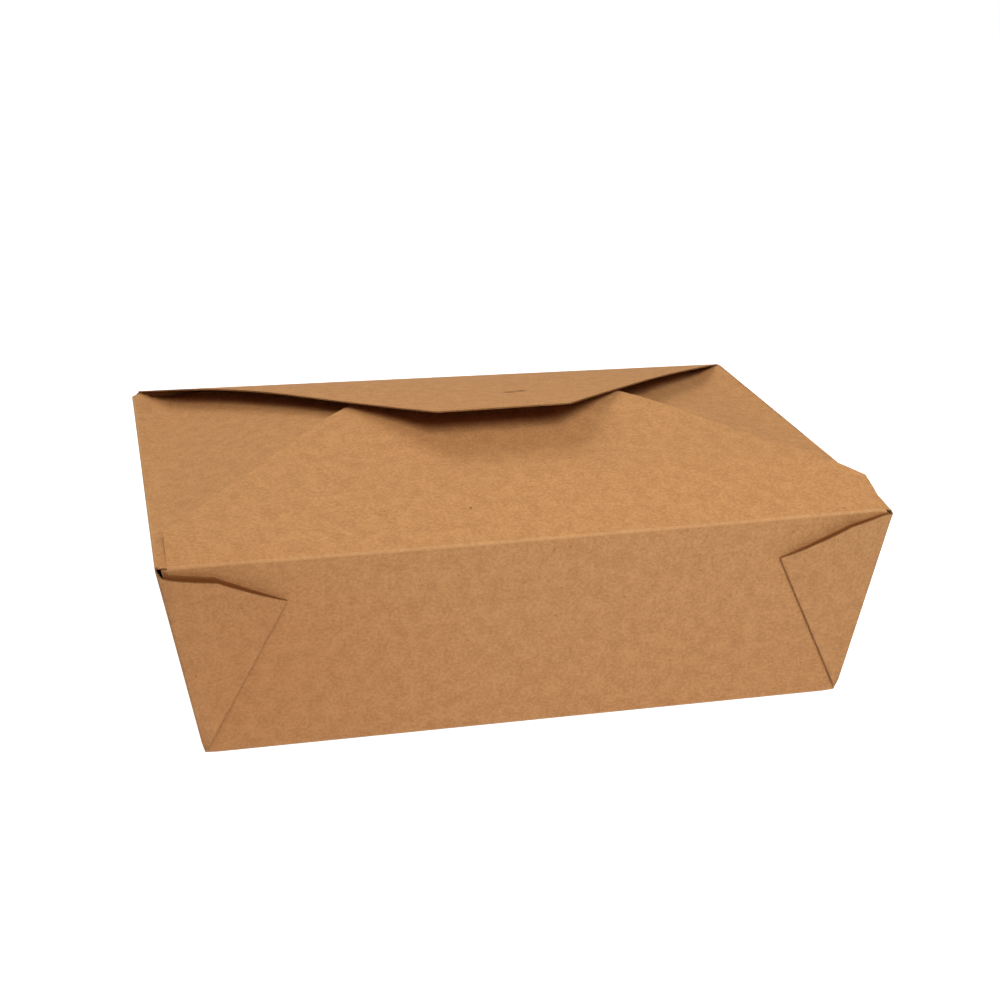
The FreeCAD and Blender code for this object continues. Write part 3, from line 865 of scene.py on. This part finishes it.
def board_mesh(name, patches):
    """The finished piece: outside, inside and cut edge, with materials 0, 1 and 2."""
    points, groups, welded, blank, masks = weld(patches)
    faces = [welded[g] for g in groups]
    half = normals_of(points, faces) * (BOARD / 2 * thickness(points))[:, None]
    count = len(points)
    edge = open_edges(faces, count)
    a, b = (ends[edge] for ends in corner_pairs(faces))
    rim = np.stack([b, a, a + count, b + count], 1)
    here, ahead = (ends[edge] for ends in corner_pairs(groups))
    loops = ([on_map(blank[g]) for g in groups]
             + [on_map(blank[g[:, ::-1]]) + INSIDE_SHIFT for g in groups]
             + [on_map(blank[np.stack([ahead, here, here, ahead], 1)])])
    all_faces = ([f.tolist() for f in faces] + [(f[:, ::-1] + count).tolist() for f in faces]
                 + [rim.tolist()])
    one_side = sum(map(len, faces))
    kinds = np.repeat([0, 1, 2], [one_side, one_side, len(rim)])
    mesh = bpy.data.meshes.new(name)
    vertices = np.concatenate([points + half, points - half]) * MM
    mesh.from_pydata(vertices.tolist(), [], [face for part in all_faces for face in part])
    mesh.polygons.foreach_set("material_index", kinds)
    layer_uv = mesh.uv_layers.new(name="blank")
    layer_uv.uv.foreach_set("vector", np.concatenate(loops).astype(np.float32).ravel())
    # fold: paler folds, partly a painted highlight; web: painted shade between a web's layers
    for mask, values in zip(("fold", "web"), masks.T):
        attribute = mesh.attributes.new(mask, "FLOAT", "POINT")
        attribute.data.foreach_set("value", np.tile(values, 2).astype(np.float32))
    mesh.shade_smooth()
    mesh.set_sharp_from_angle(angle=SHARP)
    piece = bpy.data.objects.new(name, mesh)
    bpy.context.scene.collection.objects.link(piece)
    print(name, "has", len(vertices), "points,", len(mesh.polygons), "faces and", len(edge),
          "closed edges")
    return piece


folded_sheet = board_mesh("folded_sheet", tray + base + [front_flap] + end_flaps)
closing_flap = board_mesh("closing_flap", [back_flap])

# %% [markdown]
# ## Kraft board
#
# Kraft board is unbleached paper: long wood fibres in a brown pulp, matt, with soft clouds of
# lighter and darker stock, a few dark specks of bark, and fibres that catch the light. A scan could
# show them, but noise that is worked out in place stays sharp from close up. It is read from the
# flat blank, as it was before folding, so it runs round every fold as on the real sheet. One unit
# of that map is a metre. A few helpers keep each step of the pattern on one line.

# %% Steps of a pattern
def put(tree, socket, value):
    """Gives an input what it reads: another node's socket, a number or a colour."""
    if isinstance(value, bpy.types.NodeSocket):
        tree.links.new(value, socket)
    else:
        socket.default_value = (*value, 1) if isinstance(value, tuple) else value


def math_node(tree, operation, *values):
    """One step of arithmetic. The values are sockets or numbers."""
    node = tree.nodes.new("ShaderNodeMath")
    node.operation = operation
    for socket, value in zip(node.inputs, values):
        put(tree, socket, value)
    return node.outputs[0]


def largest(tree, masks):
    """The largest of some masks at each place."""
    result = masks[0]
    for mask in masks[1:]:
        result = math_node(tree, "MAXIMUM", result, mask)
    return result


def between(tree, value, start, full):
    """0 at start and before it, 1 at full and past it, smooth between. Either may be the larger."""
    node = tree.nodes.new("ShaderNodeMapRange")
    node.interpolation_type = "SMOOTHSTEP"
    for name, number in (("Value", value), ("From Min", start), ("From Max", full)):
        put(tree, node.inputs[name], number)
    return node.outputs["Result"]


def noise(tree, vector, scale, detail, roughness=0.5, distortion=0.0, stretch=1.0, turn=0.0):
    """Noise with about scale features to the metre, longer along X by stretch, turned by degrees."""
    mapping = tree.nodes.new("ShaderNodeMapping")
    mapping.inputs["Rotation"].default_value = (0, 0, np.radians(turn))
    mapping.inputs["Scale"].default_value = (scale / stretch, scale, 1)
    texture = tree.nodes.new("ShaderNodeTexNoise")
    texture.noise_dimensions = "2D"
    for name, number in (("Scale", 1.0), ("Detail", detail), ("Roughness", roughness),
                         ("Distortion", distortion)):
        texture.inputs[name].default_value = number
    tree.links.new(vector, mapping.inputs["Vector"])
    tree.links.new(mapping.outputs["Vector"], texture.inputs["Vector"])
    return texture.outputs["Fac"]


# %% [markdown]
# The pattern itself is a node group, because every finish of the board has the same fibres. It puts
# out masks and a height, and each material decides what colours it lays over each other with them.

# %% The fibre pattern
COARSE, FINE = 210, 1000                 # clouds and their grain, to the metre
COARSE_SHARE = 0.37                      # of the coarse clouds, the rest is grain
STRAND_TURNS = (8, 62, -47, 118, 90)     # the fibres' directions, in degrees
STRAND_SCALE, STRAND_STEP = 3600, 270    # strands to the metre, and how many more for each next one
STRETCH = 6                              # how much longer than wide a strand is
PALE_STRAND, DEEP_STRAND = (0.65, 0.78), (0.31, 0.21)     # noise at which one begins and is full
SPECK_SCALE, SPECK = 800, (0.80, 0.86)   # how fine the specks are, and the noise that makes one
FIBRE_HEIGHT, CLOUD_HEIGHT = 0.35, 0.65  # shares of the relief


def fibre_group():
    """The pattern: clouds are two noises added up, strands the highest and lowest values of some
    stretched ones, specks the highest values of a coarser one."""
    tree = bpy.data.node_groups.new("kraft_fibres", "ShaderNodeTree")
    tree.interface.new_socket("Vector", in_out="INPUT", socket_type="NodeSocketVector")
    vector = tree.nodes.new("NodeGroupInput").outputs["Vector"]
    coarse = noise(tree, vector, COARSE, detail=3, roughness=0.6, distortion=0.3)
    fine = noise(tree, vector, FINE, detail=3, roughness=0.7, distortion=0.2)
    cloud = math_node(tree, "MULTIPLY_ADD", coarse, COARSE_SHARE,
                      math_node(tree, "MULTIPLY", fine, 1 - COARSE_SHARE))
    strands = [noise(tree, vector, STRAND_SCALE + STRAND_STEP * number, detail=1, distortion=1.0,
                     stretch=STRETCH, turn=turn) for number, turn in enumerate(STRAND_TURNS)]
    light = largest(tree, [between(tree, strand, *PALE_STRAND) for strand in strands])
    dark = largest(tree, [between(tree, strand, *DEEP_STRAND) for strand in strands])
    bark = noise(tree, vector, SPECK_SCALE, detail=1, stretch=1.6, turn=20)
    height = math_node(tree, "MULTIPLY_ADD", math_node(tree, "SUBTRACT", light, dark), FIBRE_HEIGHT,
                       math_node(tree, "MULTIPLY", cloud, CLOUD_HEIGHT))
    masks = {"Cloud": cloud, "Light Fibres": light, "Dark Fibres": dark,
             "Specks": between(tree, bark, *SPECK), "Height": height}
    for name in masks:
        tree.interface.new_socket(name, in_out="OUTPUT", socket_type="NodeSocketFloat")
    result = tree.nodes.new("NodeGroupOutput")
    for name, socket in masks.items():
        tree.links.new(socket, result.inputs[name])
    return tree


fibres = fibre_group()
print("fibre group with", len(fibres.nodes), "nodes")

# %% [markdown]
# ## Three finishes
#
# The outside is bare kraft. The inside has a thin film against grease, so it is deeper in colour
# and shines a little more, and between the layers of a web it gets painted shade, a deep red brown.
# The cut edge is raw and deeper still, partly its own colour and partly painted shade for the dark
# lines along the edges. A fold is a little paler than its face, partly because the stretched fibres
# let more light back out and partly as a painted highlight along it. Three materials could be made
# by hand, but one function for all keeps them alike where they should be.

# %% How a finish is made
CLOUD = (0.34, 0.66)                     # the cloud's range, from all deep to all pale
LIGHT_SHARE, DARK_SHARE, SPECK_SHARE = 0.30, 0.20, 0.6    # how strongly each shows
# how strongly the folds' paler tone and painted highlight show, and the painted shade inside webs
FOLD_PALE_AND_HIGHLIGHT_SHARE, WEB_PAINTED_SHADE_SHARE = 0.35, 0.9
RELIEF = 0.03                            # height of the fibres, in millimetres


def mixed(tree, factor, a, b):
    """Colour a where factor is 0 and colour b where it is 1. a and b are sockets or colours."""
    node = tree.nodes.new("ShaderNodeMix")
    node.data_type = "RGBA"
    colours = [socket for socket in node.inputs if socket.type == "RGBA"]
    for socket, value in zip([node.inputs[0]] + colours, (factor, a, b)):
        put(tree, socket, value)
    return node.outputs[2]


def kept_mask(tree, name):
    """One of the masks that the board keeps at its points."""
    node = tree.nodes.new("ShaderNodeAttribute")
    node.attribute_name = name
    return node.outputs["Fac"]


def board_material(name, deep, pale, fibre, speck, fold, roughness, specular, bump, web=None):
    """A finish: its colours, laid over each other by the masks, and how matt and rough it is."""
    material = bpy.data.materials.new(name)
    material.use_nodes = True
    tree = material.node_tree
    shader = tree.nodes["Principled BSDF"]
    place = tree.nodes.new("ShaderNodeUVMap")
    place.uv_map = "blank"
    pattern = tree.nodes.new("ShaderNodeGroup")
    pattern.node_tree = fibres
    tree.links.new(place.outputs["UV"], pattern.inputs["Vector"])
    colour = mixed(tree, between(tree, pattern.outputs["Cloud"], *CLOUD), deep, pale)
    # the fold tint is partly paler fibres, partly a painted highlight; the web tint is painted shade
    over = [(pattern.outputs["Light Fibres"], LIGHT_SHARE, fibre),
            (pattern.outputs["Dark Fibres"], DARK_SHARE, speck),
            (pattern.outputs["Specks"], SPECK_SHARE, speck),
            (kept_mask(tree, "fold"), FOLD_PALE_AND_HIGHLIGHT_SHARE, fold)]
    if web:
        over.append((kept_mask(tree, "web"), WEB_PAINTED_SHADE_SHARE, web))
    for mask, share, tint in over:
        colour = mixed(tree, math_node(tree, "MULTIPLY", mask, share), colour, tint)
    tree.links.new(colour, shader.inputs["Base Color"])
    shader.inputs["Roughness"].default_value = roughness
    shader.inputs["Specular IOR Level"].default_value = specular
    relief = tree.nodes.new("ShaderNodeBump")
    relief.inputs["Strength"].default_value = bump
    relief.inputs["Distance"].default_value = RELIEF * MM
    tree.links.new(pattern.outputs["Height"], relief.inputs["Height"])
    tree.links.new(relief.outputs["Normal"], shader.inputs["Normal"])
    return material


# %% [markdown]
# Now only the values are left. Each colour is linear, from the deepest to the palest of the board.
# The film makes the inside less rough, and the cut edge has the strongest relief, because there
# the cut fibres stand up.

# %% Outside, inside and cut edge
# the fold colours here are partly the paler stretched fibres, partly a painted highlight
outside = board_material("kraft_outside", deep=(0.475, 0.226, 0.087), pale=(0.610, 0.312, 0.126),
                         fibre=(0.69, 0.39, 0.17), speck=(0.24, 0.10, 0.035),
                         fold=(0.69, 0.39, 0.18), roughness=0.85, specular=0.20, bump=0.35)
# its web colour is painted shade, a deep red brown, between the layers of a web
inside = board_material("kraft_inside_and_web_shade", deep=(0.31, 0.140, 0.050), pale=(0.38, 0.178, 0.067),
                        fibre=(0.46, 0.24, 0.10), speck=(0.17, 0.072, 0.026),
                        fold=(0.42, 0.21, 0.085), roughness=0.55, specular=0.20, bump=0.35,
                        web=(0.26, 0.080, 0.018))
# the cut edge's deep colours are partly the raw edge's own, partly painted shade for the dark lines
# along edges
cut = board_material("kraft_cut_edge_and_shade", deep=(0.22, 0.102, 0.038), pale=(0.30, 0.146, 0.058),
                     fibre=(0.42, 0.23, 0.10), speck=(0.14, 0.06, 0.024),
                     fold=(0.28, 0.135, 0.052), roughness=0.95, specular=0.1, bump=0.8)
for piece in (folded_sheet, closing_flap):
    for material in (outside, inside, cut):
        piece.data.materials.append(material)
print("finishes:", [m.name for m in folded_sheet.data.materials])

# %% [markdown]
# ## Small marks
#
# No real sheet is spotless. This one has a short dark dash on the back flap, a dark speck on the
# front flap, a few flecks by the front fold, and a slightly warmer tone at the left of its front.
# They could be painted into an image. Soft ovals at places of the blank need none, and they stay
# with the board when it is folded.

# %% Marks and a warmer tone
MARKS = (((9.9, 208.6), (6.6, 5.0), 0, 0.9),       # a short dark dash, in two parts
         ((13.9, 207.2), (5.2, 4.6), 0, 1.0),
         ((-17.6, -150.4), (1.3, 1.2), 0, 1.0),    # the speck
         ((3.4, -128.8), (2.6, 0.5), -70, 0.5),    # the flecks
         ((50.0, -128.8), (3.0, 0.6), -60, 0.5),
         ((94.0, -135.4), (1.2, 0.9), 0, 0.7))
MARK_COLOUR = (0.20, 0.085, 0.03)
WARM_TONE = ((-125, -100), (240, 110), 0, 0.20)
WARM_COLOUR = (0.505, 0.155, 0.045)
CORE = 0.3                               # share of an oval that has its full strength


def mark(tree, place, at, size, turn, strength):
    """Mask of one soft oval on the blank, by the distance from its centre after it is made round.

    Centre and size are in millimetres, turn is in degrees.
    """
    oval = tree.nodes.new("ShaderNodeMapping")
    oval.vector_type = "TEXTURE"
    oval.inputs["Location"].default_value = (at[0] * MM + BLANK_CENTRE, at[1] * MM + BLANK_CENTRE, 0)
    oval.inputs["Rotation"].default_value = (0, 0, np.radians(turn))
    oval.inputs["Scale"].default_value = (size[0] / 2 * MM, size[1] / 2 * MM, 1)
    far = tree.nodes.new("ShaderNodeVectorMath")
    far.operation = "LENGTH"
    tree.links.new(place, oval.inputs["Vector"])
    tree.links.new(oval.outputs["Vector"], far.inputs[0])
    return math_node(tree, "MULTIPLY", between(tree, far.outputs["Value"], 1.0, CORE), strength)


tree = outside.node_tree
place = next(node for node in tree.nodes if node.type == "UVMAP").outputs["UV"]
face = tree.nodes["Principled BSDF"].inputs["Base Color"]
toned = mixed(tree, mark(tree, place, *WARM_TONE), face.links[0].from_socket, WARM_COLOUR)
marks = largest(tree, [mark(tree, place, *values) for values in MARKS])
tree.links.new(mixed(tree, marks, toned, MARK_COLOUR), face)
print(len(MARKS), "marks on the outside")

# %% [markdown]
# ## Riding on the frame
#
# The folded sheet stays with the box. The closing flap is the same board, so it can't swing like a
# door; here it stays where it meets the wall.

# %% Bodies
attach(folded_sheet, "box")
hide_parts("box_sheet")

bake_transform(closing_flap)
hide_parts("back_flap")

# %% [markdown]
# ## Camera
#
# The view is from the front, a little to the left and above, through a long lens, so that the walls
# hardly converge. A constraint could aim the camera, but three angles say the same and leave
# nothing that moves it later.

# %% View
AZIMUTH, PITCH_DOWN, ROLL = np.radians([13.863, 21.348, 1.050])
STAND = np.array([-122.71, -520.93, 254.3])
LENS, SENSOR = 62.58, 36.0
CLIP = (0.01, 50.0)                      # nearest and farthest that it sees, in metres

forward = np.array([np.sin(AZIMUTH) * np.cos(PITCH_DOWN), np.cos(AZIMUTH) * np.cos(PITCH_DOWN),
                    -np.sin(PITCH_DOWN)])
level_right = np.array([np.cos(AZIMUTH), -np.sin(AZIMUTH), 0])
level_up = np.cross(level_right, forward)
right = np.cos(ROLL) * level_right + np.sin(ROLL) * level_up
up = -np.sin(ROLL) * level_right + np.cos(ROLL) * level_up
camera_data = bpy.data.cameras.new("view")
camera_data.lens, camera_data.sensor_width = LENS, SENSOR
camera_data.clip_start, camera_data.clip_end = CLIP
camera = bpy.data.objects.new("view", camera_data)
matrix = np.eye(4)
matrix[:3, :3] = np.stack([right, up, -forward], 1)
matrix[:3, 3] = STAND * MM
camera.matrix_world = Matrix(matrix.tolist())
bpy.context.scene.collection.objects.link(camera)
bpy.context.scene.camera = camera
print("camera at", STAND, "with a", LENS, "mm lens")

# %% [markdown]
# ## Floor
#
# The box stands on white studio paper. Lit until it looks white, it would throw far too much light
# at the board. So it has two looks: the camera sees a glow that is nearly white and still takes
# the box's shadow, and the light itself meets plain paper.

# %% Studio floor
FLOOR, FLOOR_DROP = 6.0, 0.0002          # metres across, and under the box, so that they don't touch
PAPER = (0.76, 0.81, 0.96)               # what throws light back at the box
SHADOWED = (0.45, 0.45, 0.45)            # what the camera sees: a part that shadows darken
GLOW = 0.97                              # and a glow that they don't


def seen_directly(tree):
    """1 for rays that show the background: from the camera, in a gloss or through glass."""
    path = tree.nodes.new("ShaderNodeLightPath")
    return largest(tree, [path.outputs["Is Camera Ray"], path.outputs["Is Glossy Ray"],
                          path.outputs["Is Transmission Ray"]])


def two_looks(tree, plain, shown, output):
    """Joins two shaders at the output: one that lights the box and one that the camera sees."""
    choice = tree.nodes.new("ShaderNodeMixShader")
    for socket, value in zip(choice.inputs, (seen_directly(tree), plain, shown)):
        tree.links.new(value, socket)
    tree.links.new(choice.outputs[0], tree.nodes[output].inputs["Surface"])


def plain_shader(tree, kind, **values):
    """The output of a new shader, with the named values on its sockets."""
    node = tree.nodes.new(kind)
    for name, value in values.items():
        put(tree, node.inputs[name], value)
    return node.outputs[0]


floor_mesh = bpy.data.meshes.new("floor")
corner_signs = np.array([(-1, -1), (1, -1), (1, 1), (-1, 1)])
floor_corners = np.column_stack([corner_signs * FLOOR / 2, np.full(4, -FLOOR_DROP)])
floor_mesh.from_pydata(floor_corners.tolist(), [], [(0, 1, 2, 3)])
floor = bpy.data.objects.new("floor", floor_mesh)
bpy.context.scene.collection.objects.link(floor)
floor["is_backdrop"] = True

paper = bpy.data.materials.new("studio_floor")
paper.use_nodes = True
tree = paper.node_tree
tree.nodes.remove(tree.nodes["Principled BSDF"])
added = tree.nodes.new("ShaderNodeAddShader")
tree.links.new(plain_shader(tree, "ShaderNodeBsdfDiffuse", Color=SHADOWED), added.inputs[0])
tree.links.new(plain_shader(tree, "ShaderNodeEmission", Strength=GLOW), added.inputs[1])
lit = plain_shader(tree, "ShaderNodeBsdfDiffuse", Color=PAPER)
two_looks(tree, lit, added.outputs[0], "Material Output")
floor_mesh.materials.append(paper)
print("floor", FLOOR, "m across")

# %% [markdown]
# ## World and lamps
#
# The board gets soft light from a key lamp high in front, a weak warm fill from the left, a weak
# one from the right, and a stronger one from behind, for the flaps. A picture of a studio all round
# would light it too, but lamps can each be turned up or down.

# %% Studio light
AMBIENT = 0.05                           # strength of the world's own light
LAMP_DISTANCE, AIM_HEIGHT = 1.4, 0.03    # metres from the box, and above the floor


def soft_box(name, side, height, size, power, colour, aim=0.0, spread=180):
    """A square area lamp that faces the box, or a place beside it along X.

    side is in degrees from straight in front, to the right. height is in degrees above the floor,
    size and aim are in metres, power in watts, spread in degrees.
    """
    side, height = np.radians([side, height])
    away = Vector((np.sin(side) * np.cos(height), -np.cos(side) * np.cos(height), np.sin(height)))
    lamp_data = bpy.data.lights.new(name, "AREA")
    lamp_data.size, lamp_data.energy, lamp_data.color = size, power, colour
    lamp_data.spread = np.radians(spread)
    lamp = bpy.data.objects.new(name, lamp_data)
    lamp.location = Vector((aim, 0, AIM_HEIGHT)) + away * LAMP_DISTANCE
    lamp.rotation_euler = (-away).to_track_quat("-Z", "Y").to_euler()
    bpy.context.scene.collection.objects.link(lamp)


world = bpy.data.worlds.new("studio")
bpy.context.scene.world = world
world.use_nodes = True
tree = world.node_tree
tree.nodes.remove(tree.nodes["Background"])
white = (1.0, 1.0, 1.0)
ambient = plain_shader(tree, "ShaderNodeBackground", Color=white, Strength=AMBIENT)
two_looks(tree, ambient, plain_shader(tree, "ShaderNodeBackground", Color=white), "World Output")
soft_box("key", side=-3, height=41, size=0.55, power=1.71, colour=(1.0, 0.98, 0.93), aim=0.10,
         spread=55)
soft_box("left_fill", side=-80, height=45, size=0.8, power=0.9, colour=(1.0, 0.74, 0.46))
soft_box("right_fill", side=80, height=45, size=0.8, power=0.9, colour=(1.0, 0.97, 0.92))
soft_box("back_fill", side=-150, height=55, size=0.9, power=8.0, colour=(1.0, 0.99, 0.93))
bpy.context.scene.view_settings.view_transform = "Standard"

# %% [markdown]
# ## Sizes of both models
#
# The looks must not outgrow the imported model, so both boxes are printed.

# %% Sizes and the end
seen_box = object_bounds()
for name, (low, high) in (("cad", cad_box), ("visual", seen_box)):
    print(name, [round(v / MM, 1) for v in low], [round(v / MM, 1) for v in high])
